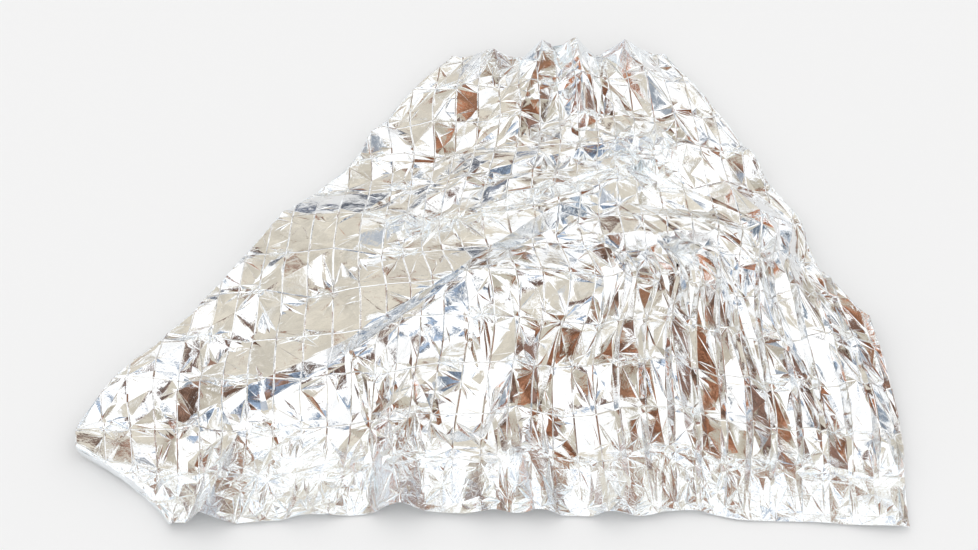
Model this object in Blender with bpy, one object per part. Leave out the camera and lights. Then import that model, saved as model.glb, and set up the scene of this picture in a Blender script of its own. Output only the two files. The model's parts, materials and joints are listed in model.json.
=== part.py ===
"""Emergency foil blanket lying loose on the floor, three of its corners turned under: one thin creased sheet."""
import math
from collections import namedtuple

import bpy
import numpy as np
from mathutils import Vector
from mathutils.geometry import delaunay_2d_cdt

# The sheet as it is cut, in metres. s runs along its length and t along its width, both from its middle.
LENGTH = 2.10
WIDTH = 1.60
THICKNESS = 0.0012

# The grid of panels left by packing.
COLUMNS = 34
ROWS = 12
PANEL_S = LENGTH / COLUMNS
PANEL_T = WIDTH / ROWS
RIB_HEIGHT = 0.0024      # creases across the sheet, which turn over from row to row
PLEAT_HEIGHT = 0.0045    # creases along the sheet, which turn over from one to the next
RIB_FADE = 0.022         # how near a lengthwise crease the ribs begin to flatten
TAKE_UP = 0.985          # plan size left after the small creases have drawn the sheet in

# On the near right the ribs are pressed into knife pleats: how far they stand up and down, what share of each
# panel is a pleat's steep side, where the pleats begin and how gradually.
KNIFE_HEIGHT = 0.0065
KNIFE_STEEP = 0.22
KNIFE_START = (0.25, 0.02)
KNIFE_FADE = (0.16, 0.08)

# Random swells: their height in metres, or as a share of what they vary, their length and their seed.
Swell = namedtuple("Swell", "height length seed")
BILLOWS = Swell(0.0120, 0.85, 13)
RIPPLES = Swell(0.0034, 0.30, 14)
HEM_FLUTES = Swell(0.0110, 0.17, 15)
RIB_CHANGE = Swell(0.5, 0.70, 11)
KNIFE_CHANGE = Swell(0.35, 0.16, 16)
PLEAT_CHANGE = Swell(0.5, 0.80, 12)
HEM_WOBBLE = Swell(0.03, 0.20, 21)
COLLAR_WOBBLE = Swell(0.02, 0.20, 22)
WANDER_S = Swell(0.008, 0.60, 41)
WANDER_T = Swell(0.008, 0.60, 42)

# The rest of its unevenness.
FLOAT_HEIGHT = 0.0130
CLEARANCE = 0.0070       # the least height of the billows, so that the creases below them stay clear of the floor
FLUTE_STRETCH = 0.3      # the hem's flutes run across the sheet, as they vary less along t
HEM_CALM = 0.4           # how much the packing creases fade at the hem
CALM_JITTER = 0.05       # how far points are off their height, as a share of the way to the nearest one
CRUMPLE_JITTER = 0.30
JITTER_REACH = 0.034     # and the most that way counts for
DENTED_SHARE = 0.45
MERGE = 0.0065           # points and lines closer than this become one
EVENING = 2              # rounds of evening out the way its thickness goes
PULL_REACH = 1.2         # how far a fold draws the sheet towards itself
FOLD_END = 0.12          # how gradually that pull ends past a fold
SEED = 5

# Loose folds: points along each crest on the flat sheet, the crest's height there, and the flat width of the
# flanks on the left and right of the way the crest runs.
Crest = namedtuple("Crest", "fold s t height left right")
CRESTS = [Crest(*row) for row in (
    # fold           s       t    height   left  right
    ("back_leg",   -0.06,   0.27,  0.060,  0.120, 0.160),
    ("back_leg",   -0.46,  -0.02,  0.072,  0.130, 0.290),
    ("back_leg",   -0.98,  -0.44,  0.026,  0.100, 0.120),
    ("front_leg",   0.40,   0.29,  0.044,  0.070, 0.130),
    ("front_leg",   0.14,   0.10,  0.076,  0.086, 0.300),
    ("front_leg",  -0.10,  -0.09,  0.084,  0.092, 0.360),
    ("front_leg",  -0.40,  -0.29,  0.072,  0.084, 0.300),
    ("front_leg",  -0.62,  -0.43,  0.046,  0.070, 0.200),
    ("front_leg",  -0.82,  -0.57,  0.006,  0.060, 0.100),
    ("apron",       0.17,   0.06,  0.034,  0.220, 0.050),
    ("apron",      -0.07,  -0.13,  0.044,  0.280, 0.050),
    ("apron",      -0.37,  -0.33,  0.038,  0.240, 0.050),
    ("apron",      -0.58,  -0.46,  0.016,  0.120, 0.050),
    ("hip",         0.52,   0.46,  0.034,  0.056, 0.120),
    ("hip",         0.14,   0.34,  0.044,  0.062, 0.170),
    ("hip",        -0.10,   0.26,  0.036,  0.056, 0.120),
    ("collar_1",   -0.02,   0.80,  0.040,  0.070, 0.080),
    ("collar_1",   -0.26,   0.42,  0.010,  0.080, 0.090),
    ("collar_2",    0.15,   0.80,  0.060,  0.090, 0.070),
    ("collar_2",    0.02,   0.46,  0.014,  0.080, 0.080),
    ("collar_3",    0.27,   0.80,  0.074,  0.080, 0.092),
    ("collar_3",    0.27,   0.48,  0.020,  0.070, 0.070),
    ("collar_4",    0.44,   0.80,  0.056,  0.084, 0.072),
    ("collar_4",    0.56,   0.54,  0.036,  0.080, 0.075),
    ("collar_4",    0.66,   0.26,  0.006,  0.070, 0.070),
    ("side",        0.58,   0.40,  0.040,  0.080, 0.070),
    ("side",        0.80,   0.06,  0.062,  0.095, 0.080),
    ("side",        1.01,  -0.58,  0.030,  0.080, 0.070),
    ("knee",        0.16,   0.02,  0.010,  0.120, 0.050),
    ("knee",        0.40,   0.06,  0.056,  0.130, 0.066),
    ("knee",        0.60,   0.06,  0.054,  0.120, 0.066),
    ("knee",        0.78,  -0.02,  0.014,  0.090, 0.060),
    ("shin_1",      0.30,   0.00,  0.040,  0.052, 0.060),
    ("shin_1",      0.38,  -0.42,  0.006,  0.050, 0.060),
    ("shin_2",      0.46,   0.01,  0.044,  0.052, 0.054),
    ("shin_2",      0.52,  -0.60,  0.010,  0.050, 0.054),
    ("shin_3",      0.60,   0.00,  0.044,  0.054, 0.054),
    ("shin_3",      0.70,  -0.62,  0.012,  0.054, 0.054),
    ("shin_4",      0.73,  -0.04,  0.040,  0.054, 0.054),
    ("shin_4",      0.86,  -0.64,  0.016,  0.054, 0.054),
    ("near_1",     -0.28,  -0.34,  0.016,  0.070, 0.080),
    ("near_1",     -0.18,  -0.80,  0.036,  0.064, 0.070),
    ("near_2",      0.04,  -0.20,  0.016,  0.070, 0.080),
    ("near_2",      0.13,  -0.80,  0.030,  0.060, 0.070),
    ("tail",       -0.62,  -0.46,  0.004,  0.070, 0.060),
    ("tail",       -0.70,  -0.80,  0.046,  0.090, 0.056),
    ("back_1",     -0.36,   0.50,  0.034,  0.080, 0.070),
    ("back_1",     -0.22,   0.34,  0.006,  0.080, 0.070),
    ("back_2",     -0.62,   0.16,  0.036,  0.080, 0.080),
    ("back_2",     -0.46,   0.10,  0.006,  0.080, 0.080),
    ("back_3",     -0.88,  -0.20,  0.026,  0.070, 0.070),
    ("back_3",     -0.74,  -0.24,  0.006,  0.070, 0.070),
    ("back_4",      0.78,   0.38,  0.030,  0.070, 0.070),
    ("back_4",      0.70,   0.24,  0.006,  0.070, 0.070),
)]

# Stretches of the edge that stand off the floor.
Lift = namedtuple("Lift", "s t radius height")
LIFTS = [Lift(*row) for row in (
    # s      t     radius  height
    (0.22,  0.80,  0.22,  0.024),
    (1.02, -0.42,  0.10,  0.016),
    (0.99, -0.77,  0.07,  0.012),
    (-1.02, -0.66,  0.09,  0.020),
    (-0.42, -0.80,  0.06,  0.010),
)]

# Places where the sheet lies flat on the floor.
Patch = namedtuple("Patch", "s t radius")
PATCHES = [Patch(*row) for row in (
    # s      t     radius
    (-0.05, -0.52,  0.060),
    (0.27, -0.58,  0.055),
    (-0.46, -0.66,  0.050),
    (0.96, -0.66,  0.035),
    (-0.74,  0.56,  0.070),
    (0.94,  0.62,  0.050),
)]
PATCH_FADE = 0.06

# The corners that are turned under. A corner's signs say where it is, and its two lengths how far from it the
# line of the fold meets the long edge and the short one.
Corner = namedtuple("Corner", "s t length width")
CORNERS = [Corner(*row) for row in (
    # s    t   length  width
    (-1,   1,   0.90,  1.34),
    (1,    1,   0.48,  1.00),
    (-1,  -1,   0.26,  0.22),
)]
CURL_RADIUS = 0.011
CURL = math.pi * CURL_RADIUS
CURL_STEPS = 3
FLAP_CALM = 0.30         # what is left of the relief in a corner that is turned under
COVER_MARGIN = 0.08      # how far past such a corner the sheet above stays raised
COVER_SLOPE = 0.10

# Bands where the foil is crushed small: how far each reaches, and how gradually it ends.
Band = namedtuple("Band", "reach fade")
HEM_BAND = Band(0.19, 0.06)
HEM_WIDE = (-0.50, 0.16, 0.11)   # where along the edge that band is wider, over what length and by how much
COLLAR_BAND = Band(0.09, 0.05)
COLLAR_SIDES = Band(0.37, 0.10)
COLLAR_MIDDLE = 0.21
BELT_BAND = Band(0.050, 0.03)
BELT = ((0.52, 0.33), (0.29, 0.26), (0.10, 0.165), (-0.02, 0.09), (-0.28, 0.10))
GATHER_BAND = Band(0.15, 0.08)
GATHER = (0.46, 0.36)
CRUMPLE_SPACING = 0.034


def smooth(x):
    """0 below 0, 1 above 1, and an even S between."""
    x = np.clip(x, 0, 1)
    return x * x * (3 - 2 * x)


def zigzag(x):
    """A fold that goes from -1 at even numbers to 1 at odd ones."""
    return 1 - 2 * np.abs(np.mod(x, 2) - 1)


def sawtooth(x):
    """A fold that falls slowly from 1 at each whole number, and rises steeply to the next."""
    part = np.mod(x, 1)
    slow = 1 - KNIFE_STEEP
    return np.where(part < slow, 1 - 2 * part / slow, 1 - 2 * (1 - part) / KNIFE_STEEP)


def wander(points, swell, waves=8):
    """A smooth random swell."""
    rng = np.random.default_rng(swell.seed)
    total = np.zeros(len(points))
    for _ in range(waves):
        heading, phase = rng.uniform(0, 2 * math.pi, 2)
        rate = 2 * math.pi / (swell.length * rng.uniform(0.7, 1.5))
        across = points[:, 0] * math.cos(heading) + points[:, 1] * math.sin(heading)
        total += np.sin(rate * across + phase)
    return swell.height * total / math.sqrt(waves / 2)


def inside(band, away):
    """1 within a band, and 0 past where it has ended."""
    return smooth((band.reach - away) / band.fade)


def corner_line(corner):
    """Both ends of the line along which a corner is turned, and the way from the line towards the corner."""
    tip = np.array((corner.s * LENGTH / 2, corner.t * WIDTH / 2))
    start = tip - (corner.s * corner.length, 0)
    end = tip - (0, corner.t * corner.width)
    towards = np.array((corner.s * corner.width, corner.t * corner.length))
    return tip, start, end, towards / np.linalg.norm(towards)


def turned(points):
    """For each corner: how far points lie past its line, the way to the corner, and how much it lies under them."""
    for corner in CORNERS:
        _, start, _, towards = corner_line(corner)
        depth = (points - start) @ towards
        mirrored = points - 2 * depth[:, None] * towards
        beyond = np.maximum(mirrored[:, 0] * corner.s - LENGTH / 2, mirrored[:, 1] * corner.t - WIDTH / 2)
        cover = smooth((COVER_MARGIN + COVER_SLOPE - beyond) / COVER_SLOPE)
        yield depth, towards, cover


def segments():
    """Each straight stretch of crest: its two rows, its start and its step on the flat sheet."""
    for a, b in zip(CRESTS, CRESTS[1:]):
        if a.fold == b.fold:
            yield a, b, np.array((a.s, a.t)), np.array((b.s - a.s, b.t - a.t))


def along_segment(points, start, step):
    """Share of the way along a segment, kept between its ends, and distance from it."""
    part = np.clip((points - start) @ step / (step @ step), 0, 1)
    return part, np.linalg.norm(points - start - part[:, None] * step, axis=1)


def folds(points):
    """How high the loose folds stand, and how far they draw the sheet in."""
    rise = np.zeros(len(points))
    shift = np.zeros((len(points), 2))
    for a, b, start, step in segments():
        length = np.linalg.norm(step)
        normal = np.array((-step[1], step[0])) / length
        side = (points - start) @ normal
        part, away = along_segment(points, start, step)
        height = a.height + (b.height - a.height) * part
        flank = np.where(side > 0, a.left + (b.left - a.left) * part, a.right + (b.right - a.right) * part)
        rise = np.maximum(rise, height * (1 - away / flank))
        run = (points - start) @ step / length
        fade = smooth(0.5 + run / (2 * FOLD_END)) * smooth(0.5 + (length - run) / (2 * FOLD_END))
        saved = flank - np.sqrt(flank ** 2 - height ** 2)
        pull = saved * np.minimum(np.abs(side) / flank, 1) * fade * np.exp(-(side / PULL_REACH) ** 2)
        shift -= (np.sign(side) * pull)[:, None] * normal
    return rise, shift


def crumple(points):
    """How crushed the foil is, from 0 to 1."""
    middle, length, more = HEM_WIDE
    wider = more * np.exp(-((points[:, 0] - middle) / length) ** 2)
    hem = inside(HEM_BAND, WIDTH / 2 + points[:, 1] + wander(points, HEM_WOBBLE) - wider)
    collar = inside(COLLAR_BAND, WIDTH / 2 - points[:, 1] + wander(points, COLLAR_WOBBLE))
    collar *= inside(COLLAR_SIDES, np.abs(points[:, 0] - COLLAR_MIDDLE))
    gather = inside(GATHER_BAND, np.linalg.norm(points - GATHER, axis=1))
    belt = np.zeros(len(points))
    for start, end in zip(BELT, BELT[1:]):
        away = along_segment(points, np.array(start), np.subtract(end, start))[1]
        belt = np.maximum(belt, inside(BELT_BAND, away))
    return np.maximum.reduce([hem, collar, gather, belt])


def at_hem(points):
    """1 at the near edge, and 0 where the crushed band along it ends."""
    return smooth(1 - (WIDTH / 2 + points[:, 1]) / HEM_BAND.reach)


def knife_share(points):
    """How far the ribs are pressed into knife pleats, from 0 to 1."""
    past = (points - KNIFE_START) / KNIFE_FADE
    return smooth(past[:, 0]) * smooth(-past[:, 1]) * (1 - at_hem(points))


def creases(points):
    """The packing creases' own small relief."""
    column = (points[:, 0] + LENGTH / 2) / PANEL_S
    row = (points[:, 1] + WIDTH / 2) / PANEL_T
    from_pleat = np.abs(row - np.round(row)) * PANEL_T
    side = np.where(np.floor(row) % 2 == 0, 1, -1)
    sharp = knife_share(points)
    rib = RIB_HEIGHT * (1 + wander(points, RIB_CHANGE)) * zigzag(column) * side * smooth(from_pleat / RIB_FADE)
    knife = KNIFE_HEIGHT * (1 + wander(points, KNIFE_CHANGE)) * sawtooth(column)
    pleat = PLEAT_HEIGHT * (1 + wander(points, PLEAT_CHANGE)) * zigzag(row)
    return rib * (1 - sharp) + knife * sharp + pleat


def nearest(points, edges):
    """How far each point's nearest neighbour is."""
    ends = np.array(edges)
    length = np.linalg.norm(points[ends[:, 0]] - points[ends[:, 1]], axis=1)
    near = np.full(len(points), JITTER_REACH)
    for side in (0, 1):
        np.minimum.at(near, ends[:, side], length)
    return near


def jitter(points, edges):
    """How far every panel corner is off its height."""
    rng = np.random.default_rng(SEED)
    size = CALM_JITTER + (CRUMPLE_JITTER - CALM_JITTER) * crumple(points)
    return size * nearest(points, edges) * rng.uniform(-1, 1, len(points))


def heights(points, off):
    """How far the sheet stands over what it lies on, with each point a little off its place."""
    hem = at_hem(points)
    height = FLOAT_HEIGHT + wander(points, BILLOWS) + wander(points, RIPPLES)
    height += hem * wander(points * (1, FLUTE_STRETCH), HEM_FLUTES)
    height = np.maximum(height, CLEARANCE) + creases(points) * (1 - HEM_CALM * hem)
    for place in LIFTS:
        away = np.hypot(points[:, 0] - place.s, points[:, 1] - place.t)
        height += place.height * np.exp(-(away / place.radius) ** 2)
    height += off
    rise = folds(points)[0]
    for depth, _, _ in turned(points):
        rise *= 1 - smooth(depth / CURL)
    height = np.maximum(height + rise, 0)
    for place in PATCHES:
        away = np.hypot(points[:, 0] - place.s, points[:, 1] - place.t)
        height *= smooth((away - place.radius) / PATCH_FADE)
    return height


def lay(points, height):
    """Where the flat sheet's points lie, with the turned corners rolled under."""
    anchor = points.copy()
    rolled_out = np.zeros(points.shape)
    base = np.zeros(len(points))
    for depth, towards, cover in turned(points):
        past = np.maximum(depth, 0)
        rolled = np.minimum(past, CURL)
        angle = rolled / CURL_RADIUS
        anchor -= past[:, None] * towards
        rolled_out += (CURL_RADIUS * np.sin(angle) - (past - rolled))[:, None] * towards
        under = (1 - np.cos(angle)) / 2
        base = np.maximum(base, 2 * CURL_RADIUS * cover) - (2 * CURL_RADIUS + THICKNESS) * under
        height = height * (1 - (1 - FLAP_CALM) * under)
    plan = anchor * TAKE_UP + folds(anchor)[1] + rolled_out
    plan[:, 0] += wander(anchor, WANDER_S)
    plan[:, 1] += wander(anchor, WANDER_T)
    return np.column_stack([plan, base + height])


class Network:
    """Points and lines on the flat sheet, ready to be triangulated."""

    def __init__(self):
        self.points = []
        self.edges = []

    def line(self, points):
        first = len(self.points)
        self.points.extend(points)
        self.edges.extend((first + n, first + n + 1) for n in range(len(points) - 1))

    def triangles(self):
        limit = np.array((LENGTH / 2, WIDTH / 2))
        kept = [Vector(np.clip(point, -limit, limit)) for point in self.points]
        points, edges, faces = delaunay_2d_cdt(kept, self.edges, [], 0, MERGE, False)[:3]
        return np.array([tuple(point) for point in points]), edges, faces


def add_panels(network):
    """The packing creases, with a row of points on both sides of each lengthwise one."""
    knee = RIB_FADE / PANEL_T
    stops = sorted({row + part for row in range(ROWS) for part in (0, knee, 1 - knee)} | {ROWS})
    for column in range(COLUMNS + 1):
        s = column * PANEL_S - LENGTH / 2
        network.line([(s, stop * PANEL_T - WIDTH / 2) for stop in stops])
        foot = np.array([(s - KNIFE_STEEP * PANEL_S, stop * PANEL_T - WIDTH / 2) for stop in stops])
        network.line(foot[knife_share(foot) > 0])
    for row in range(ROWS + 1):
        t = row * PANEL_T - WIDTH / 2
        network.line([(column * PANEL_S - LENGTH / 2, t) for column in range(COLUMNS + 1)])


def add_dents(network, rng):
    """A point inside some of the panels, which breaks them into facets."""
    for column in range(COLUMNS):
        for row in range(ROWS):
            if rng.uniform() < DENTED_SHARE:
                place = np.array((column, row)) + rng.uniform((0.3, 0.25), (0.7, 0.75))
                network.points.append(place * (PANEL_S, PANEL_T) - (LENGTH / 2, WIDTH / 2))


def add_crumples(network, rng):
    """Close points where the foil is crushed."""
    many = int(LENGTH * WIDTH / CRUMPLE_SPACING ** 2)
    places = rng.uniform(-0.5, 0.5, (many, 2)) * (LENGTH, WIDTH)
    network.points.extend(places[crumple(places) > rng.uniform(0.2, 1, many)])


def add_crests(network):
    """The crest and the two feet of every loose fold."""
    for a, b, start, step in segments():
        normal = np.array((-step[1], step[0])) / np.linalg.norm(step)
        network.line([start, start + step])
        network.line([start + normal * a.left, start + step + normal * b.left])
        network.line([start - normal * a.right, start + step - normal * b.right])


def add_curls(network):
    """Lines across each turned corner, where it rolls under."""
    for corner in CORNERS:
        tip, start, end, towards = corner_line(corner)
        reach = (tip - start) @ towards
        for step in range(CURL_STEPS + 1):
            share = 1 - CURL * step / CURL_STEPS / reach
            network.line([tip + (start - tip) * share, tip + (end - tip) * share])


def crease_network():
    rng = np.random.default_rng(SEED)
    network = Network()
    add_panels(network)
    add_dents(network, rng)
    add_crumples(network, rng)
    add_crests(network)
    add_curls(network)
    return network.triangles()


def centred(vertices):
    """The sheet over the origin, with room for its thickness under it."""
    middle = (vertices.min(axis=0) + vertices.max(axis=0)) / 2
    return vertices - (middle[0], middle[1], -THICKNESS)


def unit(vectors):
    return vectors / np.linalg.norm(vectors, axis=1)[:, None]


def thickness_ways(vertices, faces, resting):
    """The way the sheet's thickness goes at each point: its normal, evened out, and upright where it rests."""
    corners = vertices[faces]
    facing = np.cross(corners[:, 1] - corners[:, 0], corners[:, 2] - corners[:, 0])
    ways = np.zeros(vertices.shape)
    for corner in range(3):
        np.add.at(ways, faces[:, corner], facing)
    for _ in range(EVENING):
        around = unit(ways)[faces].sum(axis=1)
        ways = np.zeros(vertices.shape)
        for corner in range(3):
            np.add.at(ways, faces[:, corner], around)
    upright = np.sign(ways[:, 2:]) * (0, 0, 1)
    return np.where(resting[:, None], upright, unit(ways))


def thickened(vertices, faces, resting):
    """A closed solid: the sheet, a copy of it below, and a rim that joins them."""
    many = len(vertices)
    below = vertices - THICKNESS * thickness_ways(vertices, faces, resting)
    sides = {(a, b) for face in faces.tolist() for a, b in zip(face, face[1:] + face[:1])}
    rim = sorted((a, b) for a, b in sides if (b, a) not in sides)
    walls = [(b, a, a + many) for a, b in rim] + [(b, a + many, b + many) for a, b in rim]
    lower = faces[:, ::-1] + many
    return np.concatenate([vertices, below]), faces.tolist() + lower.tolist() + walls


def foil():
    material = bpy.data.materials.new("foil")
    material.use_nodes = True
    shader = material.node_tree.nodes["Principled BSDF"]
    shader.inputs["Base Color"].default_value = (0.86, 0.87, 0.88, 1)
    shader.inputs["Metallic"].default_value = 1.0
    shader.inputs["Roughness"].default_value = 0.15
    return material


def main():
    for thing in list(bpy.data.objects):
        bpy.data.objects.remove(thing)
    points, edges, faces = crease_network()
    height = heights(points, jitter(points, edges))
    vertices = centred(lay(points, height))
    vertices, faces = thickened(vertices, np.array(faces), height == 0)
    mesh = bpy.data.meshes.new("blanket")
    mesh.from_pydata(vertices.tolist(), [], faces)
    mesh.update()
    mesh.materials.append(foil())
    blanket = bpy.data.objects.new("blanket", mesh)
    bpy.context.scene.collection.objects.link(blanket)


main()
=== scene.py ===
"""The emergency foil blanket's finished look: one creased sheet of film on a pale floor, in soft light."""
import json
import math
from collections import namedtuple

import bpy
import numpy as np
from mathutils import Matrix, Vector
from mathutils.bvhtree import BVHTree
from mathutils.geometry import delaunay_2d_cdt


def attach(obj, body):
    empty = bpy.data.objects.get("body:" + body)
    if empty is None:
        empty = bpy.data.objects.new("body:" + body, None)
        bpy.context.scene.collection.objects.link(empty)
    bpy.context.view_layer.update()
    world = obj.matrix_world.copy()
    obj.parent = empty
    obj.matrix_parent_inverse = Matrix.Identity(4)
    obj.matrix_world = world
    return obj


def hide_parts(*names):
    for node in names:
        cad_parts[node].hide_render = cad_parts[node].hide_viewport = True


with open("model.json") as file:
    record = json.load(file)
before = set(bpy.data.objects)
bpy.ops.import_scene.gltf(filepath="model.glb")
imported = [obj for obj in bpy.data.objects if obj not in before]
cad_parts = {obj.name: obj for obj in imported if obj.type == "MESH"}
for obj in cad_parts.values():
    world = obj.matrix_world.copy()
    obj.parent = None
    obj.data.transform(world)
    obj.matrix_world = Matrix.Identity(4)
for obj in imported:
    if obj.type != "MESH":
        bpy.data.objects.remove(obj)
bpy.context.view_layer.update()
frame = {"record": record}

# The sheet as it is cut, in metres. s runs along its length and t along its width, both from its middle.
LENGTH = 2.10
WIDTH = 1.60
THICKNESS = 0.0012

# The grid of panels left by packing.
COLUMNS = 34
ROWS = 12
PANEL_S = LENGTH / COLUMNS
PANEL_T = WIDTH / ROWS
RIB_HEIGHT = 0.0024      # creases across the sheet, which turn over from row to row
PLEAT_HEIGHT = 0.0045    # creases along the sheet, which turn over from one to the next
RIB_FADE = 0.022         # how near a lengthwise crease the ribs begin to flatten
TAKE_UP = 0.985          # plan size left after the small creases have drawn the sheet in

# On the near right the ribs are pressed into knife pleats: how far they stand up and down, what share of
# each panel is a pleat's steep side, where the pleats begin and how gradually.
KNIFE_HEIGHT = 0.0065
KNIFE_STEEP = 0.22
KNIFE_START = (0.25, 0.02)
KNIFE_FADE = (0.16, 0.08)

# Random swells: their height in metres, or as a share of what they vary, their length and their seed. Each
# is the sum of a few waves, whose lengths vary by the spread.
Swell = namedtuple("Swell", "height length seed")
WAVES = 8
WAVE_SPREAD = (0.7, 1.5)
BILLOWS = Swell(0.0120, 0.85, 13)
RIPPLES = Swell(0.0034, 0.30, 14)
HEM_FLUTES = Swell(0.0110, 0.17, 15)
RIB_CHANGE = Swell(0.5, 0.70, 11)
KNIFE_CHANGE = Swell(0.35, 0.16, 16)
PLEAT_CHANGE = Swell(0.5, 0.80, 12)
HEM_WOBBLE = Swell(0.03, 0.20, 21)
COLLAR_WOBBLE = Swell(0.02, 0.20, 22)
WANDER_S = Swell(0.008, 0.60, 41)
WANDER_T = Swell(0.008, 0.60, 42)
BUCKLES = Swell(0.0006, 0.07, 31)
CRUSH_CHANGE = Swell(0.7, 0.15, 24)
DENT_CHANGE = Swell(0.2, 0.22, 25)
EASE_CHANGE = Swell(0.25, 0.16, 26)

# The rest of its unevenness.
FLOAT_HEIGHT = 0.0130
CLEARANCE = 0.0070       # the billows' least height, so that the creases in them stay clear of the floor
FLUTE_STRETCH = 0.3      # the hem's flutes run across the sheet, as they vary less along t
HEM_CALM = 0.4           # how much the packing creases fade at the hem
CALM_JITTER = 0.05       # how far points are off their height, as a share of the way to the nearest one
CRUMPLE_JITTER = 0.30
JITTER_REACH = 0.034     # and the most that way counts for
DENTED_SHARE = 0.45      # how many panels have a dent, and the part of a panel that it may be in
DENT_LOW = (0.30, 0.25)
DENT_HIGH = (0.70, 0.75)
MERGE = 0.0065           # points and lines closer than this become one
PULL_REACH = 1.2         # how far a fold draws the sheet towards itself
FOLD_END = 0.12          # how gradually that pull ends past a fold
SEED = 5

# Loose folds: points along each crest on the flat sheet, the crest's height there, and the flat width of
# the flanks on the left and right of the way the crest runs.
Crest = namedtuple("Crest", "fold s t height left right")
CRESTS = [Crest(*row) for row in (
    # fold           s       t    height   left  right
    ("back_leg",   -0.06,   0.27,  0.060,  0.120, 0.160),
    ("back_leg",   -0.46,  -0.02,  0.072,  0.130, 0.290),
    ("back_leg",   -0.98,  -0.44,  0.026,  0.100, 0.120),
    ("front_leg",   0.40,   0.29,  0.044,  0.070, 0.130),
    ("front_leg",   0.14,   0.10,  0.076,  0.086, 0.300),
    ("front_leg",  -0.10,  -0.09,  0.084,  0.092, 0.360),
    ("front_leg",  -0.40,  -0.29,  0.072,  0.084, 0.300),
    ("front_leg",  -0.62,  -0.43,  0.046,  0.070, 0.200),
    ("front_leg",  -0.82,  -0.57,  0.006,  0.060, 0.100),
    ("apron",       0.17,   0.06,  0.034,  0.220, 0.050),
    ("apron",      -0.07,  -0.13,  0.044,  0.280, 0.050),
    ("apron",      -0.37,  -0.33,  0.038,  0.240, 0.050),
    ("apron",      -0.58,  -0.46,  0.016,  0.120, 0.050),
    ("hip",         0.52,   0.46,  0.034,  0.056, 0.120),
    ("hip",         0.14,   0.34,  0.044,  0.062, 0.170),
    ("hip",        -0.10,   0.26,  0.036,  0.056, 0.120),
    ("collar_1",   -0.02,   0.80,  0.040,  0.070, 0.080),
    ("collar_1",   -0.26,   0.42,  0.010,  0.080, 0.090),
    ("collar_2",    0.15,   0.80,  0.060,  0.090, 0.070),
    ("collar_2",    0.02,   0.46,  0.014,  0.080, 0.080),
    ("collar_3",    0.27,   0.80,  0.074,  0.080, 0.092),
    ("collar_3",    0.27,   0.48,  0.020,  0.070, 0.070),
    ("collar_4",    0.44,   0.80,  0.056,  0.084, 0.072),
    ("collar_4",    0.56,   0.54,  0.036,  0.080, 0.075),
    ("collar_4",    0.66,   0.26,  0.006,  0.070, 0.070),
    ("side",        0.58,   0.40,  0.040,  0.080, 0.070),
    ("side",        0.80,   0.06,  0.062,  0.095, 0.080),
    ("side",        1.01,  -0.58,  0.030,  0.080, 0.070),
    ("knee",        0.16,   0.02,  0.010,  0.120, 0.050),
    ("knee",        0.40,   0.06,  0.056,  0.130, 0.066),
    ("knee",        0.60,   0.06,  0.054,  0.120, 0.066),
    ("knee",        0.78,  -0.02,  0.014,  0.090, 0.060),
    ("shin_1",      0.30,   0.00,  0.040,  0.052, 0.060),
    ("shin_1",      0.38,  -0.42,  0.006,  0.050, 0.060),
    ("shin_2",      0.46,   0.01,  0.044,  0.052, 0.054),
    ("shin_2",      0.52,  -0.60,  0.010,  0.050, 0.054),
    ("shin_3",      0.60,   0.00,  0.044,  0.054, 0.054),
    ("shin_3",      0.70,  -0.62,  0.012,  0.054, 0.054),
    ("shin_4",      0.73,  -0.04,  0.040,  0.054, 0.054),
    ("shin_4",      0.86,  -0.64,  0.016,  0.054, 0.054),
    ("near_1",     -0.28,  -0.34,  0.016,  0.070, 0.080),
    ("near_1",     -0.18,  -0.80,  0.036,  0.064, 0.070),
    ("near_2",      0.04,  -0.20,  0.016,  0.070, 0.080),
    ("near_2",      0.13,  -0.80,  0.030,  0.060, 0.070),
    ("tail",       -0.62,  -0.46,  0.004,  0.070, 0.060),
    ("tail",       -0.70,  -0.80,  0.046,  0.090, 0.056),
    ("back_1",     -0.36,   0.50,  0.034,  0.080, 0.070),
    ("back_1",     -0.22,   0.34,  0.006,  0.080, 0.070),
    ("back_2",     -0.62,   0.16,  0.036,  0.080, 0.080),
    ("back_2",     -0.46,   0.10,  0.006,  0.080, 0.080),
    ("back_3",     -0.88,  -0.20,  0.026,  0.070, 0.070),
    ("back_3",     -0.74,  -0.24,  0.006,  0.070, 0.070),
    ("back_4",      0.78,   0.38,  0.030,  0.070, 0.070),
    ("back_4",      0.70,   0.24,  0.006,  0.070, 0.070),
)]

# Stretches of the edge that stand off the floor.
Lift = namedtuple("Lift", "s t radius height")
LIFTS = [Lift(*row) for row in (
    # s      t     radius  height
    (0.22,   0.80,  0.22,  0.024),
    (1.02,  -0.42,  0.10,  0.016),
    (0.99,  -0.77,  0.07,  0.012),
    (-1.02, -0.66,  0.09,  0.020),
    (-0.42, -0.80,  0.06,  0.010),
)]

# Places where the sheet lies flat on the floor.
Place = namedtuple("Place", "s t radius")
PATCHES = [Place(*row) for row in (
    # s      t     radius
    (-0.05, -0.52,  0.060),
    (0.27,  -0.58,  0.055),
    (-0.46, -0.66,  0.050),
    (0.96,  -0.66,  0.035),
    (-0.74,  0.56,  0.070),
    (0.94,   0.62,  0.050),
)]
PATCH_FADE = 0.06
PATCH_FLAT = 0.75        # how much of the height is gone there

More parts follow.
